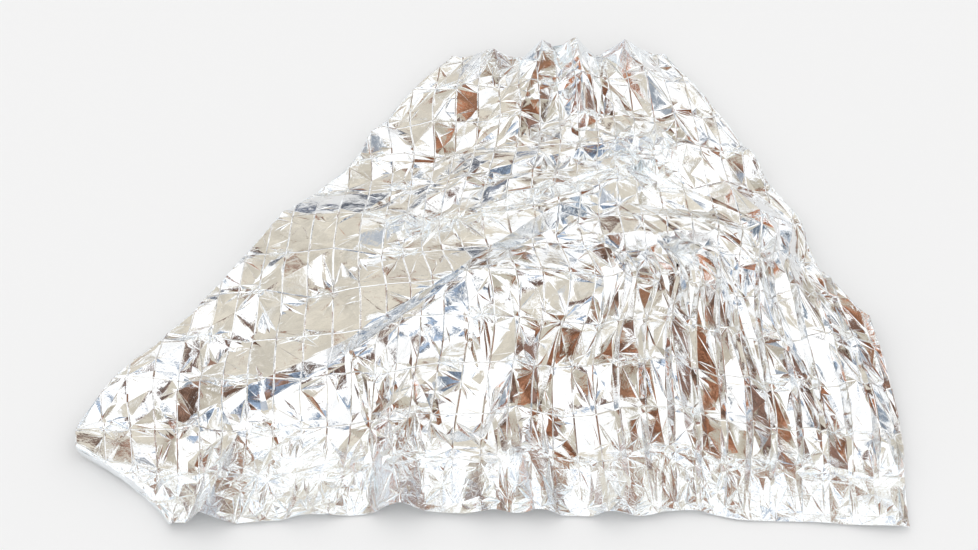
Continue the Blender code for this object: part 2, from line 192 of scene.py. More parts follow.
# The corners that are turned under. A corner's signs say where it is, and its two lengths how far from it
# the line of the fold meets the long edge and the short one.
Corner = namedtuple("Corner", "s t length width")
CORNERS = [Corner(*row) for row in (
    # s    t   length  width
    (-1,   1,   0.90,  1.34),
    (1,    1,   0.48,  1.00),
    (-1,  -1,   0.26,  0.22),
)]
CURL_RADIUS = 0.011
CURL = math.pi * CURL_RADIUS
CURL_STEPS = 3           # flat strips round the curl in the solid,
FINE_CURL_STEPS = 9      # and in the film
FLAP_CALM = 0.30         # what is left of the relief in a corner that is turned under
COVER_MARGIN = 0.08      # how far past such a corner the sheet above stays raised
COVER_SLOPE = 0.10

# Bands where the foil is crushed small: how far each reaches, and how gradually it ends.
Band = namedtuple("Band", "reach fade")
HEM_BAND = Band(0.19, 0.06)
HEM_WIDE = (-0.50, 0.16, 0.11)   # where along the edge that band is wider, over what length and by how much
COLLAR_BAND = Band(0.09, 0.05)
COLLAR_SIDES = Band(0.37, 0.10)
COLLAR_MIDDLE = 0.21
BELT_BAND = Band(0.050, 0.03)
BELT = ((0.52, 0.33), (0.29, 0.26), (0.10, 0.165), (-0.02, 0.09), (-0.28, 0.10))
GATHER_BAND = Band(0.15, 0.08)
GATHER = (0.46, 0.36)
CRUMPLE_SPACING = 0.034
CRUMPLE_FROM = 0.2       # foil crushed less than this gets none of the solid's close points

# Two that only the film has, along its gathers and along the edges of its turned corners.
PLEAT_BAND = Band(0.022, 0.012)
CURL_BAND = Band(0.030, 0.020)

# Places in those bands where the film is crushed less, and keeps the larger facets.
EASED = [Place(*row) for row in (
    # s      t     radius
    (-0.70, -0.72,  0.07),
    (-0.26, -0.76,  0.05),
    (0.02,  -0.78,  0.07),
    (0.18,  -0.70,  0.12),
    (0.42,  -0.73,  0.05),
    (0.74,  -0.72,  0.07),
    (0.94,  -0.70,  0.12),
    (0.10,   0.76,  0.05),
    (0.40,   0.76,  0.06),
)]
EASED_LEAST = 0.30
EASED_FADE = 0.08

# The film is made in rounds. Each adds points at this spacing where the foil is crushed and where it is
# calm, and moves them up or down by up to these shares of the way to the nearest one.
Round = namedtuple("Round", "crushed calm rough even")
ROUNDS = [Round(*row) for row in (
    # crushed  calm   rough   even
    (0.017,   0.060,  0.260,  0.016),
    (0.0075,  0.015,  0.200,  0.008),
)]
FINE_MERGE = 0.0004
CELL = (0.1, 0.9)        # the part of its square that a scattered point may be in
CALM_UNDER = (0.15, 0.4)  # a calm point stays where the crush is under a number drawn from this range,
CLOSE_OVER = (0.15, 0.6)  # and a close one where it is over a number drawn from this one

# How much of the solid's jitter is left where the film is calm, and what it grows to where it is dented.
CALM_SHARE = 0.15
DENTED_GROWTH = 1.8
Dented = namedtuple("Dented", "area s t radius")
DENTED = [Dented(*row) for row in (
    # area         s      t     radius
    ("chest",     0.26,  0.60,  0.22),
    ("shoulder",  0.62,  0.14,  0.20),
    ("front",    -0.22, -0.50,  0.16),
    ("tail",     -0.84, -0.52,  0.18),
    ("back",     -0.16,  0.40,  0.12),
    ("corner",    0.94, -0.56,  0.14),
)]
DENTED_FADE = 0.10

# The main creases pressed into the film, each a long four-sided dent or ridge: both its ends on the flat
# sheet, half its width, and how high its middle stands, or how deep it lies below 0.
Crease = namedtuple("Crease", "area s t end_s end_t width height")
CREASES = [Crease(*row) for row in (
    # area        s      t    end_s  end_t  width  height
    ("fan",      0.39,  0.30,  0.67,  0.06, 0.022,  0.006),
    ("fan",      0.44,  0.26,  0.79, -0.07, 0.018, -0.005),
    ("fan",      0.42,  0.20,  0.92, -0.46, 0.026,  0.008),
    ("fan",      0.36,  0.20,  0.66, -0.18, 0.018, -0.006),
    ("fan",      0.49,  0.32,  0.73,  0.12, 0.016,  0.005),
    ("knee",     0.39,  0.07,  0.31, -0.20, 0.020,  0.006),
    ("knee",     0.39,  0.07,  0.50, -0.28, 0.020, -0.006),
    ("chest",    0.05,  0.59,  0.27,  0.71, 0.034,  0.008),
    ("chest",    0.27,  0.71,  0.45,  0.46, 0.040,  0.011),
    ("chest",    0.27,  0.70,  0.23,  0.34, 0.034, -0.008),
    ("chest",    0.14,  0.51,  0.44,  0.40, 0.028,  0.008),
    ("chest",    0.05,  0.46,  0.19,  0.31, 0.022, -0.006),
    ("chest",    0.31,  0.51,  0.38,  0.76, 0.020,  0.006),
    ("belt",     0.44,  0.32,  0.01,  0.17, 0.014, -0.007),
    ("belt",     0.43,  0.28,  0.05,  0.09, 0.012,  0.006),
    ("leg",     -0.53, -0.01, -0.41, -0.17, 0.014, -0.003),
    ("leg",     -0.30,  0.04, -0.15,  0.10, 0.014,  0.003),
    ("leg",     -0.25,  0.20, -0.08,  0.26, 0.016, -0.004),
    ("leg",     -0.68, -0.20, -0.59, -0.29, 0.014,  0.003),
    ("front",   -0.40, -0.28, -0.31, -0.57, 0.026,  0.009),
    ("front",   -0.31, -0.57, -0.20, -0.40, 0.024, -0.007),
    ("front",   -0.20, -0.40, -0.08, -0.60, 0.028,  0.009),
    ("front",   -0.60, -0.35, -0.53, -0.62, 0.018, -0.005),
    ("front",    0.06, -0.43,  0.00, -0.66, 0.022,  0.007),
    ("front",   -0.08, -0.23, -0.02, -0.43, 0.018, -0.005),
    ("front",    0.18, -0.28,  0.14, -0.54, 0.018,  0.005),
    ("tail",    -1.00, -0.52, -0.87, -0.43, 0.028,  0.009),
    ("tail",    -0.87, -0.43, -0.80, -0.57, 0.028, -0.008),
    ("tail",    -0.80, -0.57, -0.69, -0.47, 0.026,  0.009),
    ("tail",    -0.69, -0.47, -0.60, -0.60, 0.022, -0.006),
    ("back",    -0.21,  0.32, -0.08,  0.42, 0.024,  0.007),
    ("back",    -0.38,  0.13, -0.26,  0.25, 0.022, -0.006),
    ("back",    -0.08,  0.42,  0.04,  0.54, 0.024,  0.006),
    ("back",    -0.64, -0.11, -0.53,  0.02, 0.020,  0.005),
    ("shin",     0.53, -0.01,  0.58, -0.29, 0.018,  0.006),
    ("shin",     0.66, -0.07,  0.73, -0.40, 0.018, -0.006),
    ("shin",     0.78, -0.25,  0.88, -0.54, 0.020,  0.006),
)]

# Small nicks of the same form, strewn over the panels.
NICKS = 110
NICK_LENGTH = (0.015, 0.050)
NICK_WIDTH = (0.0030, 0.0065)
NICK_HEIGHT = 0.0020
NICK_SEED = 51

# The packing creases themselves: narrow ridges and grooves in the film.
BEAD = 0.0022            # half the width
BEAD_HEIGHT = 0.0010
BEAD_LOSS = 0.8          # what share of that is crushed away in the bands
BEAD_STEP = 0.010
SHARP_ANGLE = math.radians(11)

# How the film looks: bright, dulled by smudges, a little hazy where it is crushed, with a paler, cooler
# painted reflection painted into its colour there, and duller on its other side. A range says over which of
# a pattern's values something comes in.
Pattern = namedtuple("Pattern", "scale detail")
SMUDGES = Pattern(6.0, 6.0)
SMUDGED_COLOUR = (0.80, 0.80, 0.79, 1)
SMUDGED_RANGE = (0.45, 0.75)
ROUGH_RANGE = (0.35, 0.75)
ROUGHNESS = (0.05, 0.13)
# Painted reflection: crushed foil is tinted paler and cooler, standing in for the pale floor it reflects
# near the hem.
CRUSHED_PAINTED_REFLECTION = (0.88, 0.91, 0.93, 1)
CRUSHED_RANGE = (0.2, 0.9)
CRUSHED_HAZE = 0.12
UNDERSIDE_METAL = 0.55

# Along the packing creases the metal has cracked: how far from one it is wholly worn, where that ends, how
# much the grain moves both, and how little of the wear is left where it is patchy and where the film is
# crushed.
WORN_CORE = 0.0005
WORN_EDGE = 0.0019
WORN_COLOUR = (0.60, 0.60, 0.60, 1)
WORN_ROUGHNESS = 0.30
GRAIN = Pattern(90.0, 3.0)
GRAIN_RANGE = (0.3, 0.7)
GRAIN_SHIFT = (-0.0004, 0.0014)
WEAR = Pattern(14.0, 2.0)
WEAR_RANGE = (0.35, 0.62)
WEAR_LEAST = 0.25
WEAR_CRUSHED = 0.15

# Wrinkles too small for the mesh: how many there are to a metre, their height where the film is crushed,
# and the least share of it on calm film. Another pattern bends them, and a soft one lies below.
Wrinkle = namedtuple("Wrinkle", "scale height least")
WRINKLES = (Wrinkle(60.0, 0.00020, 0.25), Wrinkle(170.0, 0.00005, 0.40))
WRINKLE_WIDTH = 0.16
WRINKLED_RANGE = (0.1, 0.8)
BEND = Pattern(40.0, 2.0)
BEND_SHARE = 0.03
SOFT = Pattern(22.0, 3.0)
SOFT_HEIGHT = 0.0008

# The view.
VIEW_RISE = math.radians(53)
VIEW_DISTANCE = 4.4
VIEW_TARGET = Vector((0, -0.02, 0))
LENS = 60

# Light: soft panels and coloured cards far off, which only reflections see. Each is at an azimuth from +Y
# and an elevation, in degrees, with its half width, half height and soft border as tangents, and its colour.
Card = namedtuple("Card", "azimuth elevation width height border colour")
CARDS = [Card(*row) for row in (
    (0,    68, 0.34, 0.18, 0.10, (1.40, 1.39, 1.37)),
    (90,    9, 1.20, 0.08, 0.04, (0.24, 0.30, 0.38)),
    (-90,   9, 1.20, 0.08, 0.04, (0.24, 0.30, 0.38)),
    (-100, 24, 0.26, 0.10, 0.04, (0.80, 0.74, 0.63)),
    (-118, 30, 0.12, 0.12, 0.03, (0.24, 0.14, 0.10)),
    (98,   24, 0.26, 0.10, 0.04, (0.80, 0.74, 0.63)),
    (84,   30, 0.10, 0.10, 0.03, (0.24, 0.14, 0.10)),
    (-28,  37, 0.32, 0.27, 0.05, (0.80, 0.74, 0.63)),
    (-4,   45, 0.26, 0.10, 0.04, (0.80, 0.74, 0.63)),
    (50,   40, 0.40, 0.32, 0.04, (0.62, 0.57, 0.47)),
    (43,   36, 0.23, 0.19, 0.03, (0.36, 0.16, 0.09)),
    (58,   21, 0.20, 0.16, 0.03, (0.22, 0.13, 0.10)),
    (62,   48, 0.12, 0.12, 0.03, (0.38, 0.19, 0.11)),
    (-48,  54, 0.20, 0.10, 0.04, (0.60, 0.54, 0.44)),
    (-56,  40, 0.18, 0.17, 0.03, (0.24, 0.14, 0.10)),
    (-72,  21, 0.20, 0.12, 0.04, (0.48, 0.21, 0.11)),
    (-54,  21, 0.13, 0.12, 0.03, (0.28, 0.14, 0.10)),
    (-80,  34, 0.14, 0.10, 0.04, (0.80, 0.74, 0.63)),
    (-80,  50, 0.18, 0.12, 0.04, (0.40, 0.45, 0.52)),
    (14,   31, 0.12, 0.07, 0.03, (0.26, 0.29, 0.34)),
    (118,  64, 0.26, 0.14, 0.05, (0.80, 0.74, 0.63)),
    (105,  74, 0.20, 0.09, 0.03, (0.24, 0.15, 0.12)),
    (20,   79, 0.14, 0.11, 0.03, (0.27, 0.34, 0.45)),
    (118,  38, 0.22, 0.20, 0.05, (0.60, 0.64, 0.70)),
    (144,  30, 0.28, 0.16, 0.04, (0.24, 0.31, 0.42)),
    (128,  50, 0.36, 0.14, 0.04, (0.80, 0.74, 0.63)),
    (160,  20, 0.30, 0.14, 0.04, (0.24, 0.14, 0.10)),
    (-8,   22, 0.32, 0.20, 0.05, (0.78, 0.72, 0.62)),
    (-14,  34, 0.08, 0.05, 0.02, (0.26, 0.15, 0.11)),
    (1,    25, 0.10, 0.06, 0.02, (0.22, 0.13, 0.10)),
    (-14,   4, 0.32, 0.09, 0.04, (0.18, 0.20, 0.25)),
    (205,  40, 0.35, 0.25, 0.06, (0.80, 0.74, 0.63)),
    (180,  70, 0.30, 0.14, 0.08, (1.50, 1.50, 1.50)),
    (250,  45, 0.25, 0.25, 0.06, (1.80, 1.80, 1.80)),
)]
CARD_AHEAD = 0.02        # the least cosine to a card's middle at which it shows, so that it has no double
DARK_CARD = 0.50         # cards darker than this are mottled, as what they stand for isn't one plain colour
MOTTLE = Pattern(8.0, 5.0)
MOTTLE_RANGE = (0.42, 0.60)
MOTTLE_DEPTH = (0.42, 1.70)
STREAKS = Pattern(5.0, 4.0)
STREAK_STRETCH = (1, 1, 2.5)
STREAK_RANGE = (0.35, 0.65)
STREAK_DEPTH = (0.80, 1.16)
SKY = (1.32, 1.33, 1.34, 1)
SOFT_LIGHT = (1.00, 1.00, 1.00, 1)   # the even light that falls on the floor
BACKDROP = (0.93, 0.93, 0.93, 1)     # what the camera sees past the floor
FLOOR_HALF = 30
FLOOR_DROP = 0.0005
FLOOR_COLOUR = (0.90, 0.90, 0.90, 1)
FLOOR_ROUGHNESS = 0.7


def smooth(x):
    """0 below 0, 1 above 1, and an even S between."""
    x = np.clip(x, 0, 1)
    return x * x * (3 - 2 * x)


def zigzag(x):
    """A fold that goes from -1 at even numbers to 1 at odd ones."""
    return 1 - 2 * np.abs(np.mod(x, 2) - 1)


def sawtooth(x):
    """A fold that falls slowly from 1 at each whole number, and rises steeply to the next."""
    part = np.mod(x, 1)
    slow = 1 - KNIFE_STEEP
    return np.where(part < slow, 1 - 2 * part / slow, 1 - 2 * (1 - part) / KNIFE_STEEP)


def wander(points, swell):
    """A smooth random swell."""
    rng = np.random.default_rng(swell.seed)
    total = np.zeros(len(points))
    for _ in range(WAVES):
        heading, phase = rng.uniform(0, 2 * math.pi, 2)
        rate = 2 * math.pi / (swell.length * rng.uniform(*WAVE_SPREAD))
        across = points[:, 0] * math.cos(heading) + points[:, 1] * math.sin(heading)
        total += np.sin(rate * across + phase)
    return swell.height * total / math.sqrt(WAVES / 2)


def inside(band, away):
    """1 within a band, and 0 past where it has ended."""
    return smooth((band.reach - away) / band.fade)


def distance(points, place):
    """How far points are from the middle of a place."""
    return np.hypot(points[:, 0] - place.s, points[:, 1] - place.t)


def around(points, place, fade):
    """1 within a place's radius, and 0 past where it has faded."""
    return inside(Band(place.radius + fade, fade), distance(points, place))


def corner_line(corner):
    """A corner's tip, both ends of the line along which it is turned, and the way from the line to it."""
    tip = np.array((corner.s * LENGTH / 2, corner.t * WIDTH / 2))
    start = tip - (corner.s * corner.length, 0)
    end = tip - (0, corner.t * corner.width)
    towards = np.array((corner.s * corner.width, corner.t * corner.length))
    return tip, start, end, towards / np.linalg.norm(towards)


def turned(points):
    """For each corner: how far points lie past its line, the way to it, and how much it lies under them."""
    for corner in CORNERS:
        _, start, _, towards = corner_line(corner)
        depth = (points - start) @ towards
        mirrored = points - 2 * depth[:, None] * towards
        beyond_s, beyond_t = (mirrored * (corner.s, corner.t) - (LENGTH / 2, WIDTH / 2)).T
        beyond = np.maximum(beyond_s, beyond_t)
        cover = smooth((COVER_MARGIN + COVER_SLOPE - beyond) / COVER_SLOPE)
        yield depth, towards, cover


def segments():
    """Each straight stretch of crest: its two rows, its start and its step on the flat sheet."""
    for a, b in zip(CRESTS, CRESTS[1:]):
        if a.fold == b.fold:
            yield a, b, np.array((a.s, a.t)), np.array((b.s - a.s, b.t - a.t))


def along_segment(points, start, step):
    """Share of the way along a segment, kept between its ends, and distance from it."""
    part = np.clip((points - start) @ step / (step @ step), 0, 1)
    return part, np.linalg.norm(points - start - part[:, None] * step, axis=1)


def folds(points):
    """How high the loose folds stand, and how far they draw the sheet in."""
    rise = np.zeros(len(points))
    shift = np.zeros((len(points), 2))
    for a, b, start, step in segments():
        length = np.linalg.norm(step)
        normal = np.array((-step[1], step[0])) / length
        side = (points - start) @ normal
        part, away = along_segment(points, start, step)
        height = a.height + (b.height - a.height) * part
        left = a.left + (b.left - a.left) * part
        right = a.right + (b.right - a.right) * part
        flank = np.where(side > 0, left, right)
        rise = np.maximum(rise, height * (1 - away / flank))
        run = (points - start) @ step / length
        fade = smooth(0.5 + run / (2 * FOLD_END)) * smooth(0.5 + (length - run) / (2 * FOLD_END))
        saved = flank - np.sqrt(flank ** 2 - height ** 2)
        pull = saved * np.minimum(np.abs(side) / flank, 1) * fade * np.exp(-(side / PULL_REACH) ** 2)
        shift -= (np.sign(side) * pull)[:, None] * normal
    return rise, shift


def crumple(points):
    """How crushed the foil is, from 0 to 1."""
    middle, length, more = HEM_WIDE
    wider = more * np.exp(-((points[:, 0] - middle) / length) ** 2)
    hem = inside(HEM_BAND, WIDTH / 2 + points[:, 1] + wander(points, HEM_WOBBLE) - wider)
    collar = inside(COLLAR_BAND, WIDTH / 2 - points[:, 1] + wander(points, COLLAR_WOBBLE))
    collar *= inside(COLLAR_SIDES, np.abs(points[:, 0] - COLLAR_MIDDLE))
    gather = inside(GATHER_BAND, np.linalg.norm(points - GATHER, axis=1))
    belt = np.zeros(len(points))
    for start, end in zip(BELT, BELT[1:]):
        away = along_segment(points, np.array(start), np.subtract(end, start))[1]
        belt = np.maximum(belt, inside(BELT_BAND, away))
    return np.maximum.reduce([hem, collar, gather, belt])


def to_crease(values, size, panel):
    """The number of panels from the edge, and the distance to the nearest packing crease."""
    count = (values + size / 2) / panel
    return count, np.abs(count - np.round(count)) * panel


def at_hem(points):
    """1 at the near edge, and 0 where the crushed band along it ends."""
    return smooth(1 - (WIDTH / 2 + points[:, 1]) / HEM_BAND.reach)


def knife_share(points):
    """How far the ribs are pressed into knife pleats, from 0 to 1."""
    past = (points - KNIFE_START) / KNIFE_FADE
    return smooth(past[:, 0]) * smooth(-past[:, 1]) * (1 - at_hem(points))


def creases(points):
    """The packing creases' own small relief."""
    column, _ = to_crease(points[:, 0], LENGTH, PANEL_S)
    row, from_pleat = to_crease(points[:, 1], WIDTH, PANEL_T)
    side = np.where(np.floor(row) % 2 == 0, 1, -1)
    sharp = knife_share(points)
    rib = RIB_HEIGHT * (1 + wander(points, RIB_CHANGE)) * zigzag(column) * side
    rib *= smooth(from_pleat / RIB_FADE)
    knife = KNIFE_HEIGHT * (1 + wander(points, KNIFE_CHANGE)) * sawtooth(column)
    pleat = PLEAT_HEIGHT * (1 + wander(points, PLEAT_CHANGE)) * zigzag(row)
    return rib * (1 - sharp) + knife * sharp + pleat


def nearest(points, edges):
    """How far each point's nearest neighbour is."""
    ends = np.array(edges)
    length = np.linalg.norm(points[ends[:, 0]] - points[ends[:, 1]], axis=1)
    near = np.full(len(points), JITTER_REACH)
    for side in (0, 1):
        np.minimum.at(near, ends[:, side], length)
    return near


def jitter(points, edges):
    """How far each point of the crease network is off its height."""
    rng = np.random.default_rng(SEED)
    size = CALM_JITTER + (CRUMPLE_JITTER - CALM_JITTER) * crumple(points)
    return size * nearest(points, edges) * rng.uniform(-1, 1, len(points))


def heights(points, off):
    """How far the sheet stands over what it lies on, with each point a little off its place."""
    hem = at_hem(points)
    height = FLOAT_HEIGHT + wander(points, BILLOWS) + wander(points, RIPPLES)
    height += hem * wander(points * (1, FLUTE_STRETCH), HEM_FLUTES)
    height = np.maximum(height, CLEARANCE) + creases(points) * (1 - HEM_CALM * hem)
    for place in LIFTS:
        height += place.height * np.exp(-(distance(points, place) / place.radius) ** 2)
    height += off
    rise = folds(points)[0]
    for depth, _, _ in turned(points):
        rise *= 1 - smooth(depth / CURL)
    height = np.maximum(height + rise, 0)
    for place in PATCHES:
        raised = smooth((distance(points, place) - place.radius) / PATCH_FADE)
        height *= 1 - PATCH_FLAT * (1 - raised)
    return height


def lay(points, height):
    """Where the flat sheet's points lie, with the turned corners rolled under."""
    anchor = points.copy()
    rolled_out = np.zeros(points.shape)
    base = np.zeros(len(points))
    for depth, towards, cover in turned(points):
        past = np.maximum(depth, 0)
        rolled = np.minimum(past, CURL)
        angle = rolled / CURL_RADIUS
        anchor -= past[:, None] * towards
        rolled_out += (CURL_RADIUS * np.sin(angle) - (past - rolled))[:, None] * towards
        under = (1 - np.cos(angle)) / 2
        base = np.maximum(base, 2 * CURL_RADIUS * cover) - (2 * CURL_RADIUS + THICKNESS) * under
        height = height * (1 - (1 - FLAP_CALM) * under)
    plan = anchor * TAKE_UP + folds(anchor)[1] + rolled_out
    plan[:, 0] += wander(anchor, WANDER_S)
    plan[:, 1] += wander(anchor, WANDER_T)
    return np.column_stack([plan, base + height])


class Network:
    """Points and lines on the flat sheet, ready to be triangulated."""

    def __init__(self, points=(), edges=()):
        self.points = list(points)
        self.edges = list(edges)

    def line(self, points):
        """Adds points, each joined to the next."""
        first = len(self.points)
        self.points.extend(points)
        self.edges.extend((first + n, first + n + 1) for n in range(len(points) - 1))

    def triangles(self, merge):
        """The points, edges and faces of the sheet cut along every line."""
        limit = np.array((LENGTH / 2, WIDTH / 2))
        kept = [Vector(np.clip(point, -limit, limit)) for point in self.points]
        points, edges, faces = delaunay_2d_cdt(kept, self.edges, [], 0, merge, False)[:3]
        return np.array([tuple(point) for point in points]), edges, faces


def add_panels(network):
    """The packing creases, with a row of points on both sides of each lengthwise one."""
    knee = RIB_FADE / PANEL_T
    stops = sorted({row + part for row in range(ROWS) for part in (0, knee, 1 - knee)} | {ROWS})
    for column in range(COLUMNS + 1):
        s = column * PANEL_S - LENGTH / 2
        network.line([(s, stop * PANEL_T - WIDTH / 2) for stop in stops])
        foot = np.array([(s - KNIFE_STEEP * PANEL_S, stop * PANEL_T - WIDTH / 2) for stop in stops])
        network.line(foot[knife_share(foot) > 0])
    for row in range(ROWS + 1):
        t = row * PANEL_T - WIDTH / 2
        network.line([(column * PANEL_S - LENGTH / 2, t) for column in range(COLUMNS + 1)])


def add_dents(network, rng):
    """A point inside some of the panels, which breaks them into facets."""
    for column in range(COLUMNS):
        for row in range(ROWS):
            if rng.uniform() < DENTED_SHARE:
                place = np.array((column, row)) + rng.uniform(DENT_LOW, DENT_HIGH)
                network.points.append(place * (PANEL_S, PANEL_T) - (LENGTH / 2, WIDTH / 2))


def add_crumples(network, rng):
    """Close points where the foil is crushed."""
    many = int(LENGTH * WIDTH / CRUMPLE_SPACING ** 2)
    places = rng.uniform(-0.5, 0.5, (many, 2)) * (LENGTH, WIDTH)
    network.points.extend(places[crumple(places) > rng.uniform(CRUMPLE_FROM, 1, many)])


def add_crests(network):
    """The crest and the two feet of every loose fold."""
    for a, b, start, step in segments():
        normal = np.array((-step[1], step[0])) / np.linalg.norm(step)
        network.line([start, start + step])
        network.line([start + normal * a.left, start + step + normal * b.left])
        network.line([start - normal * a.right, start + step - normal * b.right])


def add_curls(network, steps):
    """Lines across each turned corner, where it rolls under."""
    for corner in CORNERS:
        tip, start, end, towards = corner_line(corner)
        reach = (tip - start) @ towards
        for step in range(steps + 1):
            share = 1 - CURL * step / steps / reach
            network.line([tip + (start - tip) * share, tip + (end - tip) * share])


def crease_network():
    """The creases, dents, crumples and folds that the solid has too."""
    rng = np.random.default_rng(SEED)
    network = Network()
    add_panels(network)
    add_dents(network, rng)
    add_crumples(network, rng)
    add_crests(network)
    add_curls(network, CURL_STEPS)
    return network.triangles(MERGE)


def crushed(points):
    """How finely the film is crushed: less in places than the solid is, and also at the turned corners and
    in gathers along the lengthwise creases."""
    uneven = np.clip(1 - EASE_CHANGE.height + wander(points, EASE_CHANGE), EASED_LEAST, 1)
    for place in EASED:
        uneven = np.minimum(uneven, 1 - (1 - EASED_LEAST) * around(points, place, EASED_FADE))
    _, from_pleat = to_crease(points[:, 1], WIDTH, PANEL_T)
    gathers = inside(PLEAT_BAND, from_pleat) * smooth(wander(points, CRUSH_CHANGE))
    curls = [inside(CURL_BAND, np.abs(depth - CURL / 2)) for depth, _, _ in turned(points)]
    return np.maximum.reduce([crumple(points) * uneven, gathers, *curls])


def dented(points):
    """What share of the solid's jitter is left in the film."""
    share = np.maximum(crushed(points), wander(points, DENT_CHANGE))
    share = CALM_SHARE + (1 - CALM_SHARE) * smooth(share)
    for place in DENTED:
        share = np.maximum(share, DENTED_GROWTH * around(points, place, DENTED_FADE))
    return share


def add_beads(network):
    """A line along each packing crease, and one on either side of it."""
    ends_s, ends_t = LENGTH / 2, WIDTH / 2
    steps_s = np.linspace(-ends_s, ends_s, int(LENGTH / BEAD_STEP))
    steps_t = np.linspace(-ends_t, ends_t, int(WIDTH / BEAD_STEP))
    for side in (-BEAD, 0, BEAD):
        for column in range(COLUMNS + 1):
            s = column * PANEL_S - ends_s + side
            if abs(s) <= ends_s:
                network.line([(s, t) for t in steps_t])
        for row in range(ROWS + 1):
            t = row * PANEL_T - ends_t + side
            if abs(t) <= ends_t:
                network.line([(s, t) for s in steps_s])


def nicks():
    """The small creases strewn over the sheet."""
    rng = np.random.default_rng(NICK_SEED)
    for _ in range(NICKS):
        s, t = rng.uniform(-0.5, 0.5, 2) * (LENGTH, WIDTH)
        length, heading = rng.uniform(*NICK_LENGTH), rng.uniform(0, math.pi)
        end = s + length * math.cos(heading), t + length * math.sin(heading)
        yield Crease("nick", s, t, *end, rng.uniform(*NICK_WIDTH), NICK_HEIGHT * rng.uniform(-1, 1))


def add_creases(network, pressed):
    """Each pressed crease's middle line and its four sides."""
    for crease in pressed:
        start, end = np.array((crease.s, crease.t)), np.array((crease.end_s, crease.end_t))
        middle, step = (start + end) / 2, end - start
        across = np.array((-step[1], step[0])) / np.linalg.norm(step) * crease.width
        network.line([start, middle, end])
        network.line([start, middle + across, end, middle - across, start])


def pressed_in(points, pressed):
    """How high or deep the pressed creases are."""
    total = np.zeros(len(points))
    for crease in pressed:
        start, end = np.array((crease.s, crease.t)), np.array((crease.end_s, crease.end_t))
        step = (end - start) / 2
        half = np.linalg.norm(step)
        apart = points - (start + end) / 2
        along = np.abs(apart @ step) / half ** 2
        across = np.abs(apart @ (-step[1], step[0])) / half / crease.width
        total += crease.height * np.maximum(0, 1 - along - across)
    return total


def scattered(rng, spacing):
    """Random points at a spacing, one in each square of a grid."""
    many = np.ceil((LENGTH / spacing, WIDTH / spacing)).astype(int)
    cells = np.stack(np.meshgrid(np.arange(many[0]), np.arange(many[1])), axis=-1).reshape(-1, 2)
    return ((cells + rng.uniform(*CELL, cells.shape)) / many - 0.5) * (LENGTH, WIDTH)


def add_scatter(network, rng, step):
    """Points for one round, at its wide spacing all over and at its close one where the film is crushed."""
    calm = scattered(rng, step.calm)
    close = scattered(rng, step.crushed)
    network.points.extend(calm[crushed(calm) < rng.uniform(*CALM_UNDER, len(calm))])
    network.points.extend(close[crushed(close) > rng.uniform(*CLOSE_OVER, len(close))])


def read_off(points, faces, values, places):
    """Values at places, read off the triangles between points."""
    tree = BVHTree.FromPolygons(np.column_stack([points, values]).tolist(), faces)
    down = Vector((0, 0, -1))
    found = np.zeros(len(places))
    for n, (s, t) in enumerate(places.tolist()):
        hit = tree.ray_cast(Vector((s, t, 1)), down)[0] or tree.find_nearest(Vector((s, t, 0)))[0]
        found[n] = hit.z
    return found


def beads(points):
    """The narrow ridges and grooves along the packing creases."""
    column, from_rib = to_crease(points[:, 0], LENGTH, PANEL_S)
    row, from_pleat = to_crease(points[:, 1], WIDTH, PANEL_T)
    turn = np.where((np.round(column) + np.floor(row)) % 2 == 0, 1, -1)
    ridge = turn * np.maximum(0, 1 - from_rib / BEAD)
    groove = np.where(np.round(row) % 2 == 0, 1, -1) * np.maximum(0, 1 - from_pleat / BEAD)
    return BEAD_HEIGHT * (ridge + groove) * (1 - BEAD_LOSS * crumple(points))


def fine_network(points, edges, faces, off, pressed):
    """The crease network with the film's small facets inside its triangles, and how far points are off."""
    rng = np.random.default_rng(SEED)
    for step in ROUNDS:
        network = Network(map(tuple, points), edges)
        add_scatter(network, rng, step)
        if step is ROUNDS[0]:
            add_creases(network, pressed)
        if step is ROUNDS[-1]:
            add_beads(network)
            add_curls(network, FINE_CURL_STEPS)
        finer, finer_edges, finer_faces = network.triangles(FINE_MERGE)
        size = step.even + (step.rough - step.even) * crushed(finer)
        share = size * nearest(finer, finer_edges) * rng.uniform(-1, 1, len(finer))
        off = read_off(points, faces, off, finer) + share
        points, edges, faces = finer, finer_edges, finer_faces
    return points, faces, off


def film():
    """The sheet itself: its flat points, its faces and where the points lie, centred as the solid is."""
    points, edges, faces = crease_network()
    off = jitter(points, edges)
    solid = lay(points, heights(points, off))
    middle = (solid.min(axis=0) + solid.max(axis=0)) / 2
    pressed = CREASES + list(nicks())
    points, faces, off = fine_network(points, edges, faces, off * dented(points), pressed)
    relief = beads(points) + wander(points, BUCKLES) + pressed_in(points, pressed)
    height = np.maximum(heights(points, off) + relief, 0)
    return points, faces, lay(points, height) - (middle[0], middle[1], -THICKNESS)


